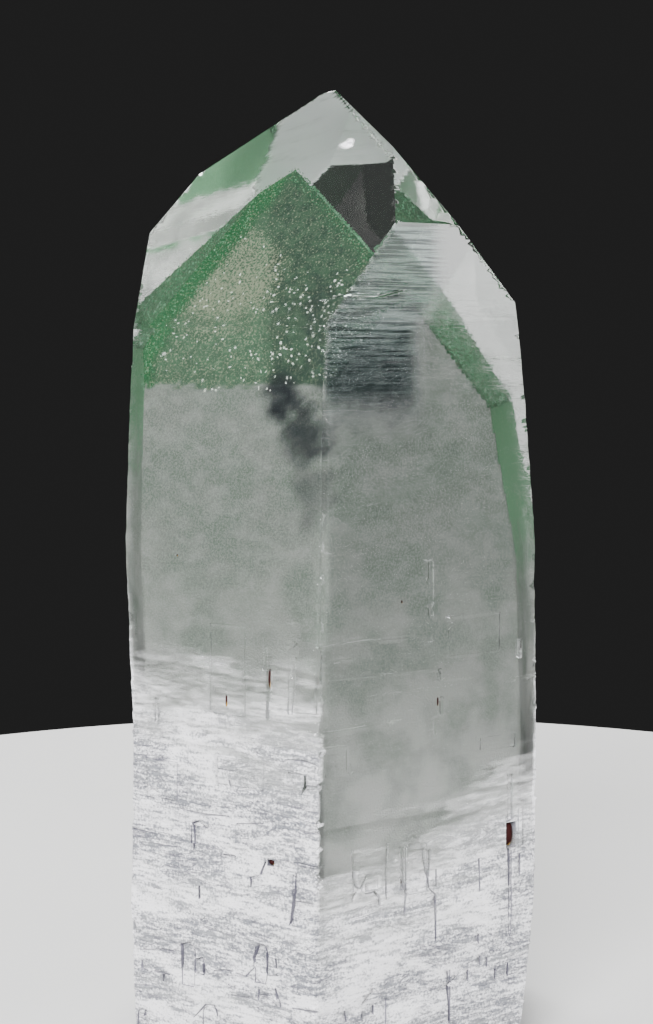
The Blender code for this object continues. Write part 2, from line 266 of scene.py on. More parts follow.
class Paint:
    """A material under construction. Its pattern sizes and heights are in millimetres."""

    def __init__(self, name):
        self.material = bpy.data.materials.new(name)
        self.material.use_nodes = True
        self.nodes = self.material.node_tree.nodes
        self.links = self.material.node_tree.links
        self.shader = self.nodes["Principled BSDF"]
        coordinates = self.nodes.new("ShaderNodeTexCoord")
        scaled = self.nodes.new("ShaderNodeMapping")
        scaled.inputs["Scale"].default_value = (1 / MM, 1 / MM, 1 / MM)
        self.links.new(coordinates.outputs["Object"], scaled.inputs["Vector"])
        self.point = scaled.outputs["Vector"]

    def feed(self, socket, value):
        """Links a socket to another one, or sets it to a plain value."""
        if isinstance(value, bpy.types.NodeSocket):
            self.links.new(value, socket)
        else:
            socket.default_value = value

    def height(self):
        """Height of the shaded point above the base."""
        node = self.nodes.new("ShaderNodeSeparateXYZ")
        self.links.new(self.point, node.inputs["Vector"])
        return node.outputs["Z"]

    def math(self, operation, first, second=0.0, third=0.0):
        """The result of a sum, a product or the like."""
        node = self.nodes.new("ShaderNodeMath")
        node.operation = operation
        for socket, value in zip(node.inputs, (first, second, third)):
            self.feed(socket, value)
        return node.outputs[0]

    def ramp(self, value, low, high, start=0.0, end=1.0):
        """Goes smoothly from start to end as the value goes from low to high."""
        node = self.nodes.new("ShaderNodeMapRange")
        node.interpolation_type = "SMOOTHSTEP"
        for name, number in (("Value", value), ("From Min", low), ("From Max", high),
                             ("To Min", start), ("To Max", end)):
            self.feed(node.inputs[name], number)
        return node.outputs["Result"]

    def mix(self, share, first, second):
        """The first colour where the share is 0, the second where it is 1."""
        node = self.nodes.new("ShaderNodeMix")
        node.data_type = "RGBA"
        self.feed(node.inputs["Factor"], share)
        self.feed(node.inputs[6], first)
        self.feed(node.inputs[7], second)
        return node.outputs[2]

    def noise(self, size, stretch=(1.0, 1.0, 1.0), detail=3.0, offset=0.0, distortion=0.0):
        """A noise pattern of this grain size. A stretch below 1 draws its grains out."""
        placed = self.nodes.new("ShaderNodeMapping")
        placed.inputs["Scale"].default_value = [s / size for s in stretch]
        placed.inputs["Location"].default_value = (offset, offset * 0.7, offset * 1.3)
        self.links.new(self.point, placed.inputs["Vector"])
        node = self.nodes.new("ShaderNodeTexNoise")
        node.inputs["Scale"].default_value = 1.0
        node.inputs["Detail"].default_value = detail
        node.inputs["Distortion"].default_value = distortion
        self.links.new(placed.outputs["Vector"], node.inputs["Vector"])
        return node.outputs["Fac"]

    def contours(self, field, count, width):
        """Thin lines where the field passes whole steps, like the lines on a map."""
        level = self.math("PINGPONG", self.math("MULTIPLY", field, count), 0.5)
        return self.ramp(level, 0.0, width, 1.0, 0.0)

    def attribute(self, name):
        """A value that the mesh holds under this name."""
        node = self.nodes.new("ShaderNodeAttribute")
        node.attribute_name = name
        return node.outputs["Fac"]

    def bump(self, height, depth, strength=1.0, over=None):
        """Tilts the surface by a height pattern, over another such pattern if one is given."""
        node = self.nodes.new("ShaderNodeBump")
        node.inputs["Strength"].default_value = strength
        node.inputs["Distance"].default_value = depth * MM
        self.feed(node.inputs["Height"], height)
        if over is not None:
            self.links.new(over, node.inputs["Normal"])
        self.links.new(node.outputs["Normal"], self.shader.inputs["Normal"])
        return node.outputs["Normal"]

    def set(self, **values):
        """Feeds the shader's sockets. An underscore stands for a space."""
        for name, value in values.items():
            self.feed(self.shader.inputs[name.replace("_", " ")], value)


def absorb(paint, color, density):
    """Gives the inside of a clear piece a faint tint that deepens with thickness."""
    node = paint.nodes.new("ShaderNodeVolumeAbsorption")
    node.inputs["Color"].default_value = color
    node.inputs["Density"].default_value = density
    paint.links.new(node.outputs["Volume"], paint.nodes["Material Output"].inputs["Volume"])


def clear_quartz_material(settings):
    """Clear quartz that turns to white, finely etched frost where the mesh says so."""
    paint = Paint("clear_quartz")

    # The frost sets in with ragged, drawn-out streaks.
    frost = paint.attribute("frost")
    streaks = paint.noise(3.4, (0.38, 0.38, 2.6), detail=7.0, offset=3.0, distortion=0.5)
    wisps = paint.noise(0.45, (0.30, 0.30, 1.6), detail=4.0, offset=41.0)
    haze = paint.math("MULTIPLY_ADD", streaks, 1.9, paint.math("MULTIPLY_ADD", wisps, 0.9, -1.75))
    haze = paint.math("MULTIPLY_ADD", frost, 1.5, haze)
    frost = paint.math("MULTIPLY", paint.ramp(haze, -0.35, 1.15), paint.ramp(frost, 0.0, 0.25))
    frost = paint.math("MAXIMUM", frost, settings.haze)

    # Painted shade along etched lines: dark lines at the edges of natural terraces and along short scratches,
    # and on the walls of the marks, where shade falls in the grooves.
    terraces = paint.noise(4.0, (0.40, 0.40, 2.2), detail=9.0, offset=11.0, distortion=0.7)
    scratches = paint.noise(1.1, (0.55, 0.55, 1.5), detail=8.0, offset=21.0, distortion=1.2)
    long_lines = paint.contours(terraces, 14.0, 0.12)
    short_lines = paint.contours(scratches, 9.0, 0.12)
    patchy = paint.ramp(paint.noise(2.8, (0.35, 0.35, 1.3), offset=31.0), 0.40, 0.58)
    low = paint.ramp(paint.height(), 68.0, 60.0)
    etch_shade = paint.math("MAXIMUM", paint.math("MULTIPLY", long_lines, patchy),
                     paint.math("MULTIPLY", short_lines, paint.math("MULTIPLY_ADD", patchy, 0.5, 0.25)))
    etch_shade = paint.math("MAXIMUM", paint.math("MULTIPLY", etch_shade, 0.9), paint.attribute("wall_shade"))
    etch_shade = paint.math("MULTIPLY", etch_shade, low)

    # The frost's own grain. Near the tip it is plain white.
    grain = paint.noise(0.20, detail=2.0)
    tone = paint.math("MULTIPLY_ADD", grain, 0.45, paint.math("MULTIPLY", wisps, 0.55))
    tone = paint.math("MULTIPLY_ADD", patchy, -0.09, tone)
    tone = paint.math("MAXIMUM", paint.ramp(tone, 0.33, 0.53), paint.math("SUBTRACT", 1.0, low))
    milk = paint.mix(tone, settings.milk_shade, settings.milk_color)
    # Painted shade along the etched lines and on the walls of the marks.
    milk = paint.mix(paint.math("MULTIPLY", etch_shade, 0.9), milk, settings.line_color)

    # A thin veil of painted sheen over the finely striped zone: its bright and dark level lines stand in for
    # a softbox's reflection in the striations, and the painted sheen shows more towards the tip.
    striped = paint.attribute("stripes")
    lines = paint.noise(0.17, (0.04, 0.04, 1.0), detail=3.0, offset=51.0)
    lines = paint.math("MULTIPLY", paint.ramp(lines, 0.40, 0.60),
                       paint.ramp(paint.height(), 57.0, 64.0, 0.22, 0.85))
    sheen_veil = paint.mix(lines, settings.sheen_veil_shade, settings.sheen_veil_color)
    frost = paint.math("MAXIMUM", frost, paint.math("MULTIPLY", striped, settings.sheen_veil))
    clarity = paint.math("MULTIPLY_ADD", frost, -settings.frost_strength, 1.0)
    paint.set(
        Base_Color=paint.mix(striped, paint.mix(frost, settings.clear_color, milk), sheen_veil),
        Roughness=paint.math("MULTIPLY_ADD", frost, 0.38, settings.roughness),
        Transmission_Weight=clarity,
        IOR=settings.ior,
    )

    # Fine level lines everywhere, and pits under the etched lines of the frosted part.
    fine = paint.noise(0.5, (0.10, 0.10, 1.5), detail=3.0, offset=5.0)
    etched = paint.math("MULTIPLY_ADD", etch_shade, -1.0, paint.math("MULTIPLY", grain, 0.35))
    etched = paint.math("MULTIPLY", etched, paint.math("ADD", frost, 0.06))
    paint.bump(etched, 0.06, strength=0.8, over=paint.bump(fine, 0.03, strength=0.35))
    absorb(paint, settings.depth_color, settings.depth_density)
    return paint.material


def phantom_material(settings):
    """Milky quartz under a dust of fuchsite, as thick as the mesh's attributes say."""
    paint = Paint("fuchsite_phantom")
    grain = paint.noise(0.13, detail=3.0)
    clumps = paint.noise(0.9, detail=3.0, offset=4.0)
    patches = paint.noise(4.0, detail=3.0, offset=9.0)
    green = paint.mix(paint.ramp(clumps, 0.35, 0.68), settings.deep_green, settings.leaf_green)
    green = paint.mix(paint.attribute("thin"), green, settings.pale_green)
    green = paint.mix(paint.attribute("rim"), green, settings.rim_green)
    green = paint.mix(paint.ramp(grain, 0.42, 0.72, 0.0, 0.25), green, settings.grey_milk)
    speckle = paint.noise(0.17, detail=2.0, offset=2.0)
    pale = paint.math("ADD", paint.attribute("cream"), paint.math("MULTIPLY_ADD", speckle, 5.0, -2.5))
    green = paint.mix(paint.ramp(pale, 0.20, 1.30, 0.0, 0.65), green, settings.cream)
    milk = paint.mix(paint.ramp(paint.height(), 48.0, 24.0), settings.grey_milk, settings.white_milk)
    milk = paint.mix(paint.attribute("pale"), milk, settings.pale_milk)
    milk = paint.mix(paint.ramp(patches, 0.36, 0.66, 0.0, 0.60), milk, settings.green_milk)
    wisps = paint.noise(1.6, (0.8, 0.8, 1.3), detail=8.0, offset=15.0)
    milk = paint.mix(paint.ramp(wisps, 0.40, 0.70, 0.0, 0.22), milk, settings.white_milk)
    milk = paint.mix(paint.ramp(grain, 0.38, 0.66, 0.0, 0.32), milk, settings.white_milk)
    edge = paint.math("ADD", paint.attribute("dust"), paint.math("MULTIPLY_ADD", grain, 0.9, -0.45))
    color = paint.mix(paint.ramp(edge, 0.25, 0.75), milk, green)
    paint.set(
        # Darker in the clouds on the front, and upwards on face m2.
        Base_Color=paint.mix(paint.attribute("smoke"), color, settings.smoke),
        Roughness=0.7,
        Specular_IOR_Level=0.05,
    )
    paint.bump(grain, 0.08, strength=0.7)
    return paint.material


def mica_material(name, dark, light):
    """Flakes whose shade changes from one to the next."""
    paint = Paint(name)
    tone = paint.noise(0.5, detail=1.0)
    paint.set(
        Base_Color=paint.mix(paint.ramp(tone, 0.40, 0.60), dark, light),
        Roughness=0.25,
        IOR=1.59,
        Specular_IOR_Level=0.8,
    )
    return paint.material


def stain_material(settings):
    """Dark iron oxide that thins to ochre at its rim."""
    paint = Paint("iron_stain")
    speck = paint.noise(0.25, detail=3.0)
    rim = paint.math("ADD", paint.attribute("rim"), paint.math("MULTIPLY_ADD", speck, 0.8, -0.4))
    paint.set(
        Base_Color=paint.mix(paint.ramp(rim, 0.35, 0.75), settings.rust, settings.ochre),
        Roughness=0.6,
        Specular_IOR_Level=0.1,
    )
    paint.bump(speck, 0.05, strength=0.8)
    return paint.material


def floor_material(settings):
    """A plain pale floor with a hardly visible mottle."""
    paint = Paint("pale_floor")
    mottle = paint.noise(30.0, detail=2.0)
    paint.set(Base_Color=paint.mix(mottle, settings.floor_color, settings.floor_shade), Roughness=0.7)
    return paint.material


class Tree:
    """A Geometry Nodes tree under construction. Every size that it takes is a named input."""

    def __init__(self, name):
        self.tree = bpy.data.node_groups.new(name, "GeometryNodeTree")
        for way in ("INPUT", "OUTPUT"):
            self.tree.interface.new_socket("Geometry", in_out=way, socket_type="NodeSocketGeometry")
        self.entry = self.tree.nodes.new("NodeGroupInput")
        self.exit = self.tree.nodes.new("NodeGroupOutput")

    def input(self, name, kind="Float"):
        """Adds a named input to the tree."""
        self.tree.interface.new_socket(name, in_out="INPUT", socket_type="NodeSocket" + kind)
        return self.entry.outputs[name]

    def add(self, kind, output=0, choices=None, **inputs):
        """Adds a node and returns one of its outputs. An input goes by its name, or by i and its number."""
        node = self.tree.nodes.new(kind)
        for name, value in (choices or {}).items():
            setattr(node, name, value)
        for name, value in inputs.items():
            key = int(name[1:]) if name[1:].isdigit() else name.replace("_", " ")
            socket = node.inputs[key]
            if isinstance(value, bpy.types.NodeSocket):
                self.tree.links.new(value, socket)
            else:
                socket.default_value = value
        return node.outputs[output]

    def math(self, operation, first, second=0.0, third=0.0):
        """The result of a sum, a product or the like."""
        return self.add("ShaderNodeMath", choices={"operation": operation}, i0=first, i1=second, i2=third)

    def vector(self, operation, first, second):
        """The result of the same for two vectors."""
        return self.add("ShaderNodeVectorMath", choices={"operation": operation}, i0=first, i1=second)

    def scale(self, vector, factor):
        """A vector times a number."""
        return self.add("ShaderNodeVectorMath", choices={"operation": "SCALE"}, i0=vector, Scale=factor)

    def named(self, name, kind="FLOAT"):
        """A value that the mesh holds under this name."""
        return self.add("GeometryNodeInputNamedAttribute", choices={"data_type": kind}, Name=name)

    def end(self, geometry):
        """Makes this geometry the tree's result."""
        self.tree.links.new(geometry, self.exit.inputs["Geometry"])

    def run(self, mesh, **values):
        """The plain mesh that the tree makes of another mesh."""
        obj = bpy.data.objects.new(self.tree.name, mesh)
        bpy.context.scene.collection.objects.link(obj)
        modifier = obj.modifiers.new(self.tree.name, "NODES")
        modifier.node_group = self.tree
        for item in self.tree.interface.items_tree:
            if item.name in values:
                modifier[item.identifier] = values[item.name]
        return plain_mesh(obj)


def plain_mesh(obj):
    """The object's mesh with its modifiers applied. The object itself goes."""
    evaluated = obj.evaluated_get(bpy.context.evaluated_depsgraph_get())
    mesh = bpy.data.meshes.new_from_object(evaluated)
    bpy.data.objects.remove(obj)
    return mesh


def relief_tree():
    """Sinks a surface by a noise pattern, in even steps like the terraces of a crystal face."""
    tree = Tree("growth_relief")
    depth, across_size, up_size, steps, seed = (
        tree.input(name) for name in ("Depth", "Size across", "Size up", "Steps", "Seed"))
    where = tree.named(tree.input("Attribute", "String"))
    place = tree.add("GeometryNodeInputPosition")
    size = tree.add("ShaderNodeCombineXYZ", X=across_size, Y=across_size, Z=up_size)
    place = tree.vector("DIVIDE", place, size)
    pattern = tree.add("ShaderNodeTexNoise", choices={"noise_dimensions": "4D"},
                       Vector=place, W=seed, Scale=1.0, Detail=3.0)
    level = tree.math("SNAP", pattern, tree.math("DIVIDE", 1.0, steps))
    sink = tree.math("MULTIPLY", tree.math("MULTIPLY", level, depth), where)
    offset = tree.scale(tree.named("away", "FLOAT_VECTOR"), tree.math("MULTIPLY", sink, -1.0))
    tree.end(tree.add("GeometryNodeSetPosition", Geometry=tree.entry.outputs["Geometry"], Offset=offset))
    return tree


def sunk(mesh, attribute, depth, across_size, up_size, steps, seed):
    """The mesh with growth lines as deep as its attribute says. Their sizes are in mm."""
    return relief_tree().run(mesh, Attribute=attribute, Depth=depth * MM, Steps=steps, Seed=seed,
                             **{"Size across": across_size * MM, "Size up": up_size * MM})


def flake_tree(material):
    """Scatters thin six-sided flakes over a surface, as densely as its attribute says."""
    tree = Tree("mica_flakes")
    density, size, thickness, tilt, lift = (
        tree.input(name) for name in ("Density", "Size", "Thickness", "Tilt", "Lift"))
    seed = tree.input("Seed", "Int")
    amount = tree.math("MULTIPLY", tree.named(tree.input("Attribute", "String")), density)
    scatter = tree.tree.nodes.new("GeometryNodeDistributePointsOnFaces")
    for name, source in (("Mesh", tree.entry.outputs["Geometry"]), ("Density", amount), ("Seed", seed)):
        tree.tree.links.new(source, scatter.inputs[name])
    flake = tree.add("GeometryNodeMeshCylinder", Vertices=6, Radius=tree.math("MULTIPLY", size, 0.5),
                     Depth=thickness)
    spin = tree.add("ShaderNodeCombineXYZ", X=tilt, Y=tilt, Z=pi)
    rise = tree.add("FunctionNodeRandomValue", choices={"data_type": "FLOAT"}, output=1,
                    i2=0.0, i3=lift, Seed=tree.math("ADD", seed, 3.0))
    turn = tree.add("FunctionNodeRandomValue", choices={"data_type": "FLOAT_VECTOR"},
                    Min=tree.scale(spin, -1.0), Max=spin, Seed=seed)
    turned = tree.add("FunctionNodeRotateRotation", choices={"rotation_space": "LOCAL"},
                      Rotation=scatter.outputs["Rotation"],
                      Rotate_By=tree.add("FunctionNodeEulerToRotation", Euler=turn))
    stretch = tree.add("FunctionNodeRandomValue", choices={"data_type": "FLOAT_VECTOR"},
                       Min=(0.45, 0.45, 0.8), Max=(1.5, 1.1, 1.2), Seed=tree.math("ADD", seed, 7.0))
    points = tree.add("GeometryNodeSetPosition", Geometry=scatter.outputs["Points"],
                      Offset=tree.scale(scatter.outputs["Normal"], rise))
    flakes = tree.add("GeometryNodeInstanceOnPoints", Points=points, Instance=flake,
                      Rotation=turned, Scale=stretch)
    flakes = tree.add("GeometryNodeRealizeInstances", Geometry=flakes)
    tree.end(tree.add("GeometryNodeSetMaterial", Geometry=flakes, Material=material))
    return tree


def piece(name, mesh, material, slot, *nodes):
    """Adds a finished mesh, hangs it on the root body, and hides the CAD nodes that it stands in for."""
    obj = bpy.data.objects.new(name, mesh)
    bpy.context.scene.collection.objects.link(obj)
    mesh.materials.clear()
    mesh.materials.append(material)
    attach(obj, "root")
    if nodes:
        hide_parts(*nodes)
    return obj


def cad_copy(node):
    """A merged copy of a CAD node's mesh, ready for editing."""
    bm = bmesh.new()
    bm.from_mesh(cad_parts[node].data)
    bmesh.ops.remove_doubles(bm, verts=bm.verts[:], dist=1e-6)
    bmesh.ops.dissolve_limit(bm, angle_limit=FLAT, verts=bm.verts[:], edges=bm.edges[:])
    return bm


def connected(bm):
    """The mesh's separate shells, each as a set of vertices."""
    shells = []
    left = set(bm.verts)
    while left:
        shell, queue = set(), [next(iter(left))]
        while queue:
            vert = queue.pop()
            if vert not in shell:
                shell.add(vert)
                queue.extend(edge.other_vert(vert) for edge in vert.link_edges)
        shells.append(shell)
        left -= shell
    return shells


def outer_skin():
    """The outer crystal as one solid: its pocket goes, and the base closes flat over it."""
    bm = cad_copy("quartz_crystal")
    base = [f for f in bm.faces if f.normal.z < -0.99 and f.calc_center_median().z < 0.02 * MM]
    bmesh.ops.delete(bm, geom=base, context="FACES")
    shells = connected(bm)
    outer = max(shells, key=lambda verts: max(v.co.z for v in verts))
    bmesh.ops.delete(bm, geom=[v for v in bm.verts if v not in outer], context="VERTS")
    rim = [edge for edge in bm.edges if edge.is_boundary]
    bmesh.ops.contextual_create(bm, geom=rim)
    bmesh.ops.recalc_face_normals(bm, faces=bm.faces[:])
    return bm


def to_mesh(bm, name):
    """Turns an editing mesh into a plain one with faces of at most four corners."""
    bmesh.ops.triangulate(bm, faces=[f for f in bm.faces if len(f.verts) > 4])
    mesh = bpy.data.meshes.new(name)
    bm.to_mesh(mesh)
    bm.free()
    return mesh


def slice_faces(bm, faces, normal, levels):
    """Cuts faces by parallel planes, given as distances from the axis's foot along the normal."""
    pending = set(faces)
    for level in sorted(levels, reverse=True):
        edges = {edge for face in pending for edge in face.edges}
        point = AXIS + normal * level
        cut = bmesh.ops.bisect_plane(bm, geom=list(pending) + list(edges), dist=1e-8,
                                     plane_co=point, plane_no=normal)
        floor = normal.dot(point) - 1e-7
        pending = {item for item in cut["geom"] if isinstance(item, bmesh.types.BMFace)
                   and min(normal.dot(vert.co) for vert in item.verts) < floor}


def slice_grid(bm, heights, widths):
    """Cuts the crystal's skin at these heights, and each of its six sides at these widths."""
    slice_faces(bm, bm.faces[:], UP, heights)
    for azimuth in PRISM_FACES.values():
        away = outward(azimuth)
        side = [face for face in bm.faces if face.normal.dot(away) > SIDE_LEAN]
        slice_faces(bm, side, across(azimuth), widths)


def side_of(face):
    """Name of the crystal face that a mesh face belongs to. A ledge belongs to its prism face."""
    names = TIP_FACES if face.normal.z > 0.5 else PRISM_FACES
    return max(names, key=lambda name: NORMALS[name].dot(face.normal))


def sides_of(vert):
    """Names of the crystal faces that meet at a vertex."""
    return {side_of(face) for face in vert.link_faces if face.normal.z > -0.5}


def face_coordinates(point, azimuth):
    """Distance along a face from its middle and height above the base, in mm."""
    return (point - AXIS).dot(across(azimuth)) / MM, point.z / MM


def on_face(tree, azimuth, along, height):
    """Point on the crystal's surface at a distance along a face, and a height, in mm."""
    start = AXIS + (outward(azimuth) * 50.0 + across(azimuth) * along + UP * height) * MM
    hit = tree.ray_cast(start, -outward(azimuth))[0]
    if hit is None:
        raise RuntimeError(f"no surface at {along}, {height} mm on the face that looks to {azimuth}")
    return hit


def add_groove(bm, tree, azimuth, width, points):
    """Adds a closed wedge that follows the points and cuts a groove of this width."""
    away = outward(azimuth)
    spots = [on_face(tree, azimuth, *point) for point in points]
    legs = [high - low for low, high in zip(spots, spots[1:])]
    legs = [(leg - away * leg.dot(away)).normalized() for leg in legs]
    rings = []
    for i, spot in enumerate(spots):
        near = legs[max(i - 1, 0):i + 1]
        run = sum(near, Vector()).normalized()
        side = run.cross(away)
        mitre = 1.0 / max(run.dot(near[0]), 0.5)
        taper = 0.4 if i in (0, len(spots) - 1) else 1.0
        depth = GROOVE_DEPTH * width
        half = width / 2 * taper * mitre * (1.0 + GROOVE_LIFT / depth)
        rings.append([bm.verts.new(spot + (side * half + away * GROOVE_LIFT) * MM),
                      bm.verts.new(spot + (away * GROOVE_LIFT - side * half) * MM),
                      bm.verts.new(spot - away * depth * MM)])
    for low, high in zip(rings, rings[1:]):
        for i in range(3):
            bm.faces.new((low[i], low[(i + 1) % 3], high[(i + 1) % 3], high[i]))
    bm.faces.new(reversed(rings[0]))
    bm.faces.new(rings[-1])


def hidden_grooves(rng):
    """Etched lines for a face that the photograph doesn't show: ticks, dashes, hooks, arches."""
    lines = []
    for _ in range(HIDDEN_LINES):
        along, height = rng.uniform(-7.0, 7.0), 4.0 + 34.0 * rng.random() ** 1.4
        width, length = rng.uniform(0.10, 0.17), rng.uniform(0.7, 2.6)
        kind = rng.integers(4)
        if kind == 0:
            points = ((along, height), (along + rng.uniform(-0.1, 0.1), height - length))
        elif kind == 1:
            points = ((along, height), (along + length, height + rng.uniform(-0.15, 0.15)))
        elif kind == 2:
            points = ((along, height - length), (along, height), (along + 0.5, height + 0.2),
                      (along + 1.0, height))
        else:
            points = ((along, height - length), (along, height - 0.3), (along + 0.3, height),
                      (along + 0.8, height), (along + 1.1, height - 0.4),
                      (along + 1.1, height - length * 0.8))
        lines.append((width, *points))
    return lines


def add_nick(bm, centre, size, rng):
    """Adds a small uneven lump that cuts a chip."""
    lump = bmesh.ops.create_icosphere(bm, subdivisions=1, radius=1.0)
    shape = Vector((rng.uniform(0.6, 1.2), rng.uniform(0.6, 1.2), rng.uniform(0.5, 1.6))) * size
    for vert in lump["verts"]:
        vert.co = centre + vert.co * shape * rng.uniform(0.8, 1.1)


def edge_nicks(bm, tree, rng):
    """Small chips along the lower part of the six long edges, and the one in the front tip face."""
    for azimuth in PRISM_FACES.values():
        middle = azimuth + 30
        away = outward(middle)
        for _ in range(FRONT_CHIPS if middle == 0 else OTHER_CHIPS):
            height = rng.uniform(3.5, 38.0)
            spots = [on_face(tree, middle, along, height) for along in (0.0, *np.linspace(-3.0, 3.0, 25))]
            edge = max(spots, key=lambda spot: (spot - AXIS).dot(away))
            size = rng.uniform(0.12, 0.30) * MM
            add_nick(bm, edge + away * size * 0.45, size, rng)
    add_nick(bm, AXIS + TIP_CHIP, TIP_CHIP_SIZE * MM, rng)


def carve(bm, cutters, name):
    """Cuts the cutters' shapes out of a solid."""
    body = bpy.data.objects.new(name, to_mesh(bm, name))
    tool = bpy.data.objects.new(name + "_cutters", to_mesh(cutters, name + "_cutters"))
    for obj in (body, tool):
        bpy.context.scene.collection.objects.link(obj)
    cut = body.modifiers.new("carve", "BOOLEAN")
    cut.operation = "DIFFERENCE"
    cut.object = tool
    cut.use_self = True
    result = bmesh.new()
    result.from_mesh(plain_mesh(body))
    bpy.data.objects.remove(tool)
    bmesh.ops.remove_doubles(result, verts=result.verts[:], dist=2e-7)
    bmesh.ops.dissolve_limit(result, angle_limit=FLAT, verts=result.verts[:], edges=result.edges[:])
    return result


def frost_at(name, point):
    """How frosted the skin is at a point of a face, from 0, clear, to 1, white."""
    if name in FROST_LINE:
        along, height = face_coordinates(point, PRISM_FACES[name])
        middle, rise = FROST_LINE[name]
        line = middle + rise * along + 1.6 * rough(point, 6.0, 3.0)
        return smooth(line - height, -FROST_BLUR, FROST_BLUR * 0.6)
    if name in BRUISED_TIP:
        x = (point.x - AXIS.x) / MM + 0.5 * rough(point, 1.2, 8.0)
        return BRUISED_TIP[name][1] * smooth(x, BRUISED_TIP[name][0] - 0.4, BRUISED_TIP[name][0] + 0.2)
    return 0.0


def wear_ledges(bm):
    """Spreads the growth ledges out, so that they end softly. Marks and edges stay sharp."""
    soft = []
    for vert in bm.verts:
        names = sides_of(vert)
        if len(names) == 1 and names <= set(PRISM_FACES):
            normal = NORMALS[names.pop()]
            if min(normal.dot(face.normal) for face in vert.link_faces) > cos(radians(35)):
                soft.append(vert)
    for _ in range(LEDGE_WEAR):
        bmesh.ops.smooth_vert(bm, verts=soft, factor=0.5, use_axis_x=True, use_axis_y=True, use_axis_z=False)


def homes(point, names, planes):
    """Those of these faces that a point lies on. A point inside a mark lies on the marked face."""
    gaps = {name: planes[name] - NORMALS[name].dot(point) for name in planes}
    near = {name for name in names if gaps[name] < MARK_REACH * MM}
    return near or {min(PRISM_FACES, key=gaps.get)}


def describe_skin(bm):
    """Writes the skin's attributes: frost, painted shade on the walls of marks, the striped zone, and where
    growth lines sink it.
    """
    wall_shade = bm.faces.layers.float.new("wall_shade")
    frost = bm.verts.layers.float.new("frost")
    relief = bm.verts.layers.float.new("relief")
    stripes = bm.verts.layers.float.new("stripes")
    away = bm.verts.layers.float_vector.new("away")
    planes = offsets(bm)
    for face in bm.faces:
        near = homes(face.calc_center_median(), NORMALS, planes) | {side_of(face)} & set(TIP_FACES)
        turn = degrees(min(NORMALS[name].angle(face.normal, 0.0) for name in near))
        # Painted shade on the walls of marks: the steeper the wall, the darker.
        face[wall_shade] = 0.0 if face.normal.z < -0.9 else smooth(turn, *WALL_TURN)
    for vert in bm.verts:
        names = sides_of(vert)
        if not names:
            continue
        home = homes(vert.co, names, planes)
        share = min if home & set(TIP_FACES) else max
        chipped = smooth((vert.co - AXIS - TIP_CHIP).length / MM, *TIP_CHIP_FROST)
        vert[frost] = max(share(frost_at(name, vert.co) for name in home), chipped)
        if names <= set(PRISM_FACES):
            vert[away] = sum((NORMALS[name] for name in names), Vector())
            below_tip = min((planes[name] - NORMALS[name].dot(vert.co)) / MM for name in TIP_FACES)
            height = vert.co.z / MM
            vert[relief] = smooth(height, 0.0, 1.5) * smooth(height, 64.0, 54.0) * smooth(below_tip, 0.0, 2.0)
        # Face m2's finely striped zone: its lines are sunk into the mesh, and the material paints a sheen
        # over it.
        if names == {"m2"}:
            along, height = face_coordinates(vert.co, PRISM_FACES["m2"])
            low, high, wider = STRIPES_WIDER
            right = along - wider * smooth(height, low, high)
            inside = smooth(along, *STRIPES_LEFT) * smooth(right, *STRIPES_RIGHT)
            vert[stripes] = inside * smooth(height, *STRIPES_FOOT) * smooth(height, *STRIPES_TOP)


def quartz_mesh():
    """The outer crystal with its etched lines, chipped edges and terraced growth lines."""
    rng = np.random.default_rng(SKIN_SEED)
    skin = outer_skin()
    tree = BVHTree.FromBMesh(skin)
    cutters = bmesh.new()
    for face, azimuth in PRISM_FACES.items():
        for width, *points in ETCHED.get(face) or hidden_grooves(rng):
            add_groove(cutters, tree, azimuth, width * GROOVE_WIDTH, points)
    edge_nicks(cutters, tree, rng)
    bmesh.ops.recalc_face_normals(cutters, faces=cutters.faces[:])
    skin = carve(skin, cutters, "etched_skin")
    heights = np.concatenate((np.arange(SKIN_ROW, 50.0, SKIN_ROW), np.arange(50.0, 65.0, SKIN_ROW / 2),
                              np.arange(65.0, 84.0, SKIN_ROW))) * MM
    widths = np.arange(-15.0, 15.0, SKIN_COLUMN) * MM
    slice_grid(skin, heights, widths)
    wear_ledges(skin)
    describe_skin(skin)
    mesh = sunk(to_mesh(skin, "etched_skin"), "relief", *TERRACES)
    mesh = sunk(mesh, "stripes", *FINE_STRIPES)
    mesh.name = "clear_quartz_crystal"
    soften(mesh, 22.0)
    return mesh


def soften(mesh, angle):
    """Shades a mesh smooth, apart from edges sharper than this many degrees."""
    mesh.shade_smooth()
    mesh.set_sharp_from_angle(angle=radians(angle))


def offsets(bm):
    """How far out each face's plane lies, for the crystal faces that a mesh has."""
    far = {}
    for face in bm.faces:
        name = side_of(face)
        if NORMALS[name].dot(face.normal) > 0.99:
            reach = max(NORMALS[name].dot(vert.co) for vert in face.verts)
            far[name] = max(far.get(name, -1.0), reach)
    return far


def dust_at(name, point):
    """Thickness of the fuchsite dust at a point of one of the inner crystal's faces."""
    if name not in DUST_FOOT:
        return 0.0
    low, high, most = DUST_FOOT[name]
    ragged = rough(point, 0.8, 2.0) + 0.5 * rough(point, 0.3, 6.0)
    return most * smooth(point.z / MM + 0.15 * (high - low + 2.0) * ragged, low, high)


def dark_cloud_at(point):
    """Strength of the dark clouds at a point of the inner crystal's front."""
    x, _, z = (point - AXIS) / MM
    cloud = 0.0
    for middle, height, wide, tall, strength in DARK_CLOUDS:
        reach = ((x - middle) / wide) ** 2 + ((z - height) / tall) ** 2
        ragged = 0.7 * rough(point, 1.2) + 0.4 * rough(point, 0.4)
        cloud = max(cloud, strength * smooth(1.7 - reach + ragged, 0.0, 1.9))
    return cloud


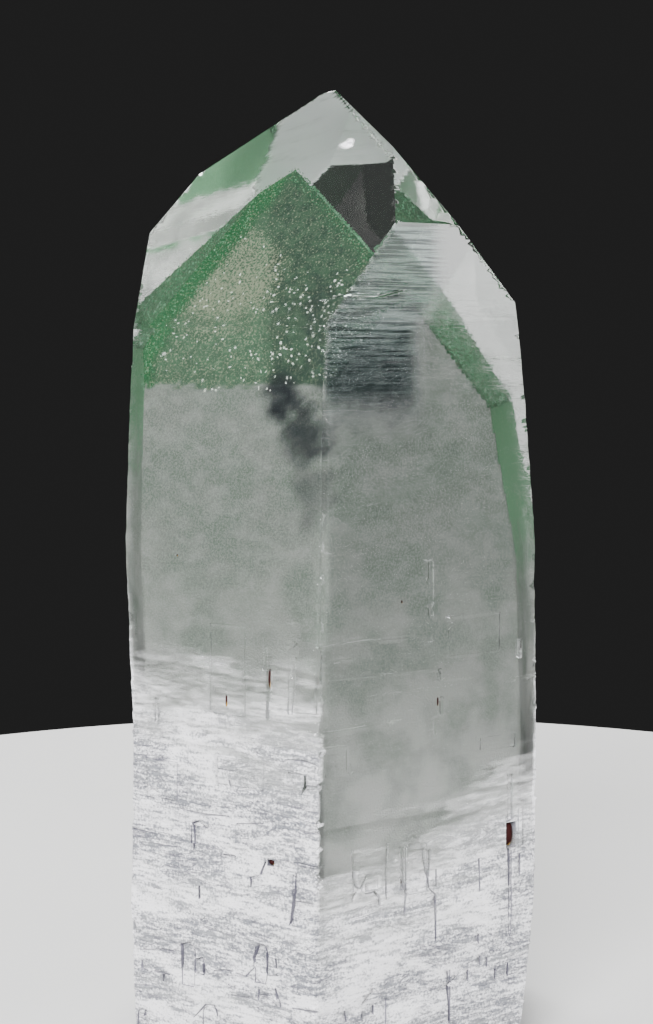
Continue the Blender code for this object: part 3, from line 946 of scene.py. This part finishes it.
def describe_phantom(bm):
    """Writes the inner crystal's attributes: dust, grains, rims, darkening and flakes."""
    names = ("dust", "thin", "pale", "cream", "rim", "smoke", "relief", "bright_flakes", "green_flakes")
    layers = {name: bm.verts.layers.float.new(name) for name in names}
    away = bm.verts.layers.float_vector.new("away")
    planes = offsets(bm)
    for vert in bm.verts:
        sides = sides_of(vert)
        if not sides:
            continue
        x, y, z = (vert.co - AXIS) / MM
        edge = {name: (planes[name] - NORMALS[name].dot(vert.co)) / MM for name in planes}
        dust = max(dust_at(name, vert.co) for name in sides)
        values = {"dust": dust, "relief": 0.25 + 0.75 * dust, "pale": smooth(y, -4.0, 4.0)}
        if "r1" in sides:
            fuzz = 0.35 * rough(vert.co, 0.7, 4.0)
            left = smooth(min(edge["z3"], edge["m6"]) + fuzz, 0.9, 1.9)
            right = smooth(min(edge["r2"], edge["z1"]) + fuzz, 0.3, 1.3)
            glow = smooth(1.0 - ((x + 8.0) / 6.5) ** 2 - ((z - 65.5) / 5.0) ** 2, 0.0, 0.7)
            shade = smooth(x + 0.5 * fuzz, -4.4, -3.2)
            low = smooth(66.5 - z, 0.0, 3.0)
            values["rim"] = 1.0 - left + 0.45 * left * (1.0 - right)
            values["thin"] = 0.12 * left * (1.0 - shade)
            values["cream"] = left * (0.75 * glow + 0.25 * (1.0 - shade) * low)
            values["bright_flakes"] = left * right * low * (0.35 + 0.65 * shade) + 0.15 * left * glow
            values["green_flakes"] = 1.0 - left * right
        elif sides & {"z3", "r2", "z1"}:
            values["rim"] = 0.6
            values["green_flakes"] = 0.5
        elif "r3" in sides:
            values["thin"] = 0.85
        elif sides & {"m3", "m6"}:
            values["rim"] = 0.5 * smooth(z, 44.0, 60.0)
            values["thin"] = 0.75
        if y < -8.0:
            values["smoke"] = dark_cloud_at(vert.co)
        # Face m2 of the inner crystal darkens upwards.
        if "m2" in sides:
            values["smoke"] = max(values.get("smoke", 0.0), 0.2 * smooth(z, 16.0, 36.0))
        for name, value in values.items():
            vert[layers[name]] = value
        vert[away] = vert.normal


def phantom_mesh():
    """The inner crystal, with finer faces at its tip, where the dust roughens it."""
    bm = cad_copy("fuchsite_phantom")
    for vert in bm.verts:
        if vert.co.z < 0.1 * MM:
            vert.co.z = PHANTOM_FOOT
    heights = np.concatenate((np.arange(2.0, 46.0, 1.5), np.arange(46.0, 76.0, PHANTOM_CELL))) * MM
    widths = np.arange(-15.0, 15.0, PHANTOM_CELL * 1.2) * MM
    slice_grid(bm, heights, widths)
    describe_phantom(bm)
    mesh = sunk(to_mesh(bm, "plain_phantom"), "relief", *DUST_GRAINS)
    mesh.name = "fuchsite_phantom_body"
    soften(mesh, 35.0)
    return mesh


def squareness(side, up):
    """Factor that turns a circle into a rounded square at this point of it."""
    reach = (side ** 4 + up ** 4) ** 0.25
    return (side * side + up * up) ** 0.5 / reach if reach > 0.0 else 1.0


def stain_mesh(tree):
    """Lumps of iron stain that fill the bottoms of the pits and slits."""
    bm = bmesh.new()
    rim = bm.verts.layers.float.new("rim")
    for number, (face, along, height, width, length, thick) in enumerate(STAINS):
        azimuth = PRISM_FACES[face]
        centre = on_face(tree, azimuth, along, height)
        lump = bmesh.ops.create_icosphere(bm, subdivisions=3, radius=1.0)
        for vert in lump["verts"]:
            side, up, out = vert.co.x, vert.co.z, -vert.co.y
            wobble = 1.0 + 0.16 * noise.noise(vert.co * 2.3 + Vector((number * 3.0, 0.0, 0.0)))
            stretch = squareness(side, up) * wobble
            place = across(azimuth) * side * stretch * width / 2 + UP * up * stretch * length / 2
            place += outward(azimuth) * out * wobble * thick * 0.95
            vert[rim] = smooth(-up * 0.50 + side * 0.45, 0.20, 0.62)
            vert.co = centre + place * MM
    bmesh.ops.recalc_face_normals(bm, faces=bm.faces[:])
    return to_mesh(bm, "iron_stains")


def color(name, description, red, green, blue):
    """A colour setting with its default."""
    return FloatVectorProperty(name=name, description=description, subtype="COLOR", size=4,
                               default=(red, green, blue, 1.0))


class QuartzSettings(bpy.types.PropertyGroup):
    ior: FloatProperty(name="IOR", description="Refraction of quartz", default=1.544)
    roughness: FloatProperty(name="Roughness", description="Roughness of the clear tip", default=0.02)
    haze: FloatProperty(name="Haze", description="Faint frost on even the clear faces", default=0.008)
    frost_strength: FloatProperty(name="Frost", description="How much light the frost stops, from 0 to 1",
                                  default=0.85)
    clear_color: color("Clear", "Tint of the clear quartz", 0.97, 0.985, 0.975)
    milk_color: color("Milk", "Colour of the frosted skin", 0.98, 0.97, 1.0)
    milk_shade: color("Milk shade", "Darker grains of the frosted skin", 0.23, 0.24, 0.27)
    # Colour of the painted shade along the etched lines and on the walls of the marks.
    line_color: color("Etched lines", "Colour of the etched lines", 0.095, 0.09, 0.13)
    # The striped zone's veil is painted sheen: a softbox's reflection in the striations of face m2, painted
    # as bright and dark lines.
    sheen_veil: FloatProperty(name="Veil", description="How much the finely striped zone hides", default=0.19)
    sheen_veil_color: color("Veil lines", "Bright lines of the striped zone", 0.46, 0.58, 0.55)
    sheen_veil_shade: color("Veil shade", "Dark lines of the striped zone", 0.05, 0.07, 0.07)
    depth_color: color("Depth tint", "Colour that thick quartz takes", 0.86, 0.92, 0.88)
    depth_density: FloatProperty(name="Depth density", description="How fast the tint deepens, per metre",
                                 default=12.0)


class PhantomSettings(bpy.types.PropertyGroup):
    rim_green: color("Rim green", "Fuchsite along the edges", 0.007, 0.100, 0.028)
    deep_green: color("Deep green", "Dense fuchsite", 0.016, 0.046, 0.026)
    leaf_green: color("Leaf green", "Lighter fuchsite", 0.034, 0.084, 0.046)
    pale_green: color("Pale green", "Fuchsite so thin that quartz shows through", 0.17, 0.41, 0.22)
    cream: color("Cream", "Pale grains in the dust", 0.34, 0.36, 0.25)
    grey_milk: color("Grey milk", "Milky quartz near the tip", 0.165, 0.19, 0.165)
    green_milk: color("Green milk", "Milky quartz with a trace of mica", 0.10, 0.145, 0.11)
    white_milk: color("White milk", "Milky quartz near the base", 0.46, 0.47, 0.45)
    pale_milk: color("Pale milk", "Milky quartz on the back faces", 0.94, 0.96, 0.92)
    # Colour of the dark clouds on the front and of the darkening on face m2.
    smoke: color("Smoke", "Smoky clouds", 0.008, 0.012, 0.016)


class MicaSettings(bpy.types.PropertyGroup):
    green: color("Green", "Colour of the green flakes", 0.05, 0.20, 0.09)
    pale_green: color("Pale green", "Colour of the thin green flakes", 0.14, 0.34, 0.19)
    cream: color("Cream", "Colour of the cream flakes", 0.80, 0.84, 0.74)
    white: color("White", "Colour of the bright flakes", 0.97, 0.99, 0.95)
    bright_density: FloatProperty(name="Bright flakes", description="Bright flakes per square centimetre",
                                  default=180.0)
    green_density: FloatProperty(name="Green flakes", description="Green flakes per square centimetre",
                                 default=1200.0)
    bright_size: FloatProperty(name="Bright size", description="Width of a bright flake",
                               default=0.24 * MM, unit="LENGTH")
    green_size: FloatProperty(name="Green size", description="Width of a green flake",
                              default=0.15 * MM, unit="LENGTH")
    fuzz: FloatProperty(name="Fuzz", description="How far the green flakes stand out", default=0.28 * MM,
                        unit="LENGTH")
    thickness: FloatProperty(name="Thickness", description="Thickness of a flake", default=0.03 * MM,
                             unit="LENGTH")


class StainSettings(bpy.types.PropertyGroup):
    rust: color("Rust", "Colour of the thick stain", 0.020, 0.003, 0.003)
    ochre: color("Ochre", "Colour of the thin stain", 0.42, 0.27, 0.05)


class StageSettings(bpy.types.PropertyGroup):
    floor_color: color("Floor", "Colour of the floor", 0.46, 0.46, 0.455)
    floor_shade: color("Floor shade", "Darker tone of the floor", 0.42, 0.42, 0.415)
    floor_radius: FloatProperty(name="Floor radius", description="Radius of the round floor",
                                default=120.0 * MM, unit="LENGTH")
    side_power: FloatProperty(name="Side light", description="Power of each side softbox, watts", default=0.5)
    key_power: FloatProperty(name="Key light", description="Power of the key softbox, watts", default=9.2)
    fill_power: FloatProperty(name="Fill light", description="Power of the low front softbox, watts",
                              default=0.5)
    back_power: FloatProperty(name="Back light", description="Power of the high back softbox, watts",
                              default=4.5)
    rake_power: FloatProperty(name="Rake light", description="Power of the light that rakes face m2, watts",
                              default=0.30)
    world: FloatProperty(name="Room", description="Brightness of the room", default=0.018)


class CRYSTAL_OT_clear_quartz(bpy.types.Operator):
    """Build the clear outer crystal as one solid piece of quartz"""
    bl_idname = "crystal.clear_quartz"
    bl_label = "Clear quartz"

    def execute(self, context):
        mesh = quartz_mesh()
        if len(mesh.polygons) == 0:
            raise RuntimeError("the clear crystal has no faces")
        material = clear_quartz_material(context.scene.quartz)
        piece("clear_quartz_crystal", mesh, material, "clear_quartz", "quartz_crystal")
        return {"FINISHED"}


class CRYSTAL_OT_phantom(bpy.types.Operator):
    """Build the older crystal inside, with its dust of fuchsite"""
    bl_idname = "crystal.phantom"
    bl_label = "Fuchsite phantom"

    def execute(self, context):
        material = phantom_material(context.scene.phantom)
        piece("fuchsite_phantom_body", phantom_mesh(), material, "fuchsite_dust", "fuchsite_phantom")
        return {"FINISHED"}


class CRYSTAL_OT_mica(bpy.types.Operator):
    """Scatter the mica flakes over the inner crystal's tip"""
    bl_idname = "crystal.mica"
    bl_label = "Mica flakes"

    def execute(self, context):
        settings = context.scene.mica
        body = bpy.data.objects.get("fuchsite_phantom_body")
        if body is None:
            raise RuntimeError("build the inner crystal first")
        kinds = (
            ("bright_mica_flakes", "bright_flakes", settings.bright_density, settings.bright_size,
             settings.cream, settings.white, 0.05 * MM),
            ("green_mica_flakes", "green_flakes", settings.green_density, settings.green_size,
             settings.green, settings.pale_green, settings.fuzz),
        )
        for number, (name, attribute, density, size, dark, light, lift) in enumerate(kinds):
            material = mica_material(name, dark, light)
            mesh = flake_tree(material).run(
                body.data.copy(), Density=density * 1e4, Size=size, Thickness=settings.thickness,
                Tilt=radians(50.0), Lift=lift, Seed=3 + number, Attribute=attribute)
            piece(name, mesh, material, "fuchsite_dust")
        return {"FINISHED"}


class CRYSTAL_OT_stains(bpy.types.Operator):
    """Fill the pits and slits with iron stain"""
    bl_idname = "crystal.stains"
    bl_label = "Iron stains"

    def execute(self, context):
        mesh = stain_mesh(BVHTree.FromBMesh(outer_skin()))
        mesh.shade_smooth()
        piece("iron_stains", mesh, stain_material(context.scene.stains), "fuchsite_dust")
        return {"FINISHED"}


class CRYSTAL_OT_stage(bpy.types.Operator):
    """Set the floor, the lights and the camera"""
    bl_idname = "crystal.stage"
    bl_label = "Stage"

    def execute(self, context):
        settings = context.scene.stage
        add_floor(settings)
        add_lights(settings)
        add_camera()
        return {"FINISHED"}


def add_floor(settings):
    """A round floor just under the cut base."""
    bm = bmesh.new()
    bmesh.ops.create_circle(bm, cap_ends=True, radius=settings.floor_radius, segments=128)
    mesh = to_mesh(bm, "floor")
    mesh.materials.append(floor_material(settings))
    floor = bpy.data.objects.new("floor", mesh)
    floor.location.z = -FLOOR_DROP
    bpy.context.scene.collection.objects.link(floor)


def add_light(name, azimuth, distance, height, size, power):
    """Adds a softbox that looks at the crystal. Its azimuth runs from the back towards +X."""
    light = bpy.data.lights.new(name, "AREA")
    light.shape = "RECTANGLE"
    light.size, light.size_y = size
    light.energy = power
    obj = bpy.data.objects.new(name, light)
    angle = radians(azimuth)
    obj.location = (sin(angle) * distance, cos(angle) * distance, height)
    target = Vector((0.0, 0.0, 0.05))
    obj.rotation_euler = (target - obj.location).to_track_quat("-Z", "Y").to_euler()
    bpy.context.scene.collection.objects.link(obj)


def add_lights(settings):
    """Softboxes left and right, behind, above and in front, in a nearly dark room."""
    softboxes = (
        ("left_softbox", -54, 0.36, 0.09, (0.36, 0.42), settings.side_power),
        ("right_softbox", 54, 0.36, 0.09, (0.36, 0.42), settings.side_power),
        ("key_softbox", -166, 0.42, 0.34, (0.26, 0.26), settings.key_power),
        ("fill_softbox", 152, 0.42, 0.07, (0.20, 0.20), settings.fill_power),
        ("back_softbox", -8, 0.26, 0.36, (0.26, 0.26), settings.back_power),
        ("rake_softbox", 122, 0.36, 0.20, (0.20, 0.16), settings.rake_power),
    )
    for softbox in softboxes:
        add_light(*softbox)
    world = bpy.data.worlds.new("room")
    world.use_nodes = True
    background = world.node_tree.nodes["Background"]
    background.inputs["Color"].default_value = (1.0, 1.0, 1.0, 1.0)
    background.inputs["Strength"].default_value = settings.world
    bpy.context.scene.world = world


def add_camera():
    """The camera that took the photograph."""
    data = bpy.data.cameras.new("camera")
    data.lens = CAMERA_LENS
    data.sensor_width = 36.0
    data.clip_start = 0.005
    camera = bpy.data.objects.new("camera", data)
    camera.location = AXIS + CAMERA_PLACE
    camera.rotation_euler = Euler((radians(90.0 - CAMERA_PITCH), radians(CAMERA_ROLL), 0.0))
    bpy.context.scene.collection.objects.link(camera)
    bpy.context.scene.camera = camera


class CRYSTAL_PT_panel(bpy.types.Panel):
    """Lists the steps that dress the crystal, in order"""
    bl_idname = "CRYSTAL_PT_panel"
    bl_label = "Fuchsite in quartz"
    bl_space_type = "VIEW_3D"
    bl_region_type = "UI"
    bl_category = "Quartz"

    def draw(self, context):
        for name, (settings_class, operator) in STEPS.items():
            box = self.layout.box()
            settings = getattr(context.scene, name)
            for key in settings_class.__annotations__:
                box.prop(settings, key)
            box.operator(operator.bl_idname)


STEPS = {
    "quartz": (QuartzSettings, CRYSTAL_OT_clear_quartz),
    "phantom": (PhantomSettings, CRYSTAL_OT_phantom),
    "mica": (MicaSettings, CRYSTAL_OT_mica),
    "stains": (StainSettings, CRYSTAL_OT_stains),
    "stage": (StageSettings, CRYSTAL_OT_stage),
}


def classes():
    """All classes of the add-on, settings before the operators that use them."""
    return [cls for step in STEPS.values() for cls in step] + [CRYSTAL_PT_panel]


def register():
    """Makes the settings, the operators and the panel known."""
    for cls in classes():
        bpy.utils.register_class(cls)
    for name, (settings_class, _) in STEPS.items():
        setattr(bpy.types.Scene, name, PointerProperty(type=settings_class))


def unregister():
    """Takes the settings, the operators and the panel away."""
    for name in STEPS:
        delattr(bpy.types.Scene, name)
    for cls in reversed(classes()):
        bpy.utils.unregister_class(cls)


def main():
    """Builds every piece and the stage."""
    register()
    bpy.ops.crystal.clear_quartz()
    bpy.ops.crystal.phantom()
    bpy.ops.crystal.mica()
    bpy.ops.crystal.stains()
    bpy.ops.crystal.stage()


if __name__ == "__main__":
    main()
